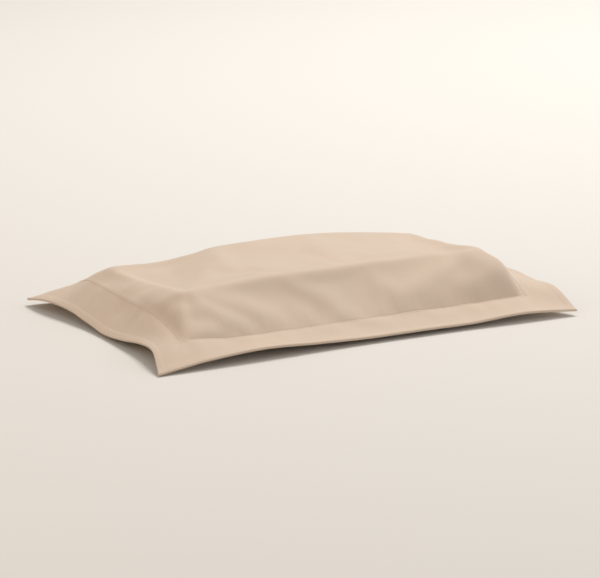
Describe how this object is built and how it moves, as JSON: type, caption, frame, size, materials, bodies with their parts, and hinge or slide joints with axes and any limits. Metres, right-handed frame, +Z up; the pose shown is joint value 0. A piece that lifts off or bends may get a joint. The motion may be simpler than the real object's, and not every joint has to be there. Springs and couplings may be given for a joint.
{
  "type": "treatment bed pillow",
  "caption": "Low rectangular head pillow for a spa treatment bed: a zipped fabric case with a wide flat border over a fibre-filled insert.",
  "frame": {"origin": "centre of the pillow's outline, on the surface that it rests on", "axes": "+X along the long side, +Y across it towards the zip's edge, +Z up"},
  "size_m": [0.6, 0.42, 0.076],
  "materials": {
    "case_fabric": "matte",
    "case_thread": "satin",
    "zip_tape": "matte",
    "zip_coil": "satin",
    "zip_metal": "satin",
    "label_ribbon": "satin",
    "ticking": "matte",
    "insert_thread": "satin",
    "fibre": "matte"
  },
  "bodies": {
    "cushion": {"case_top_panel": "case_fabric", "case_back_panel": "case_fabric", "case_back_strip": "case_fabric", "flange_topstitch": "case_thread", "care_label": "label_ribbon", "zip_tape_near": "zip_tape", "zip_tape_far": "zip_tape", "zip_coil_near": "zip_coil", "zip_coil_far": "zip_coil", "zip_bottom_stop": "zip_metal", "zip_top_stops": "zip_metal", "zip_topstitch": "case_thread", "insert_ticking_top": "ticking", "insert_ticking_bottom": "ticking", "insert_overlock": "insert_thread", "insert_closing_seam": "insert_thread", "insert_fill": "fibre", "insert_label": "label_ribbon"},
    "slider": {"zip_slider": "zip_metal"},
    "pull": {"zip_pull": "zip_metal"}
  },
  "joints": [
    {"name": "zip_slide", "type": "slide", "parent": "cushion", "child": "slider", "axis": [-1, 0, 0], "range_m": [0, 0.376]},
    {"name": "pull_swing", "type": "hinge", "parent": "slider", "child": "pull", "pos_m": [0.188, 0.14154, 0.0082], "axis": [0, -0.8762, -0.4819], "range_deg": [0, 175]}
  ]
}
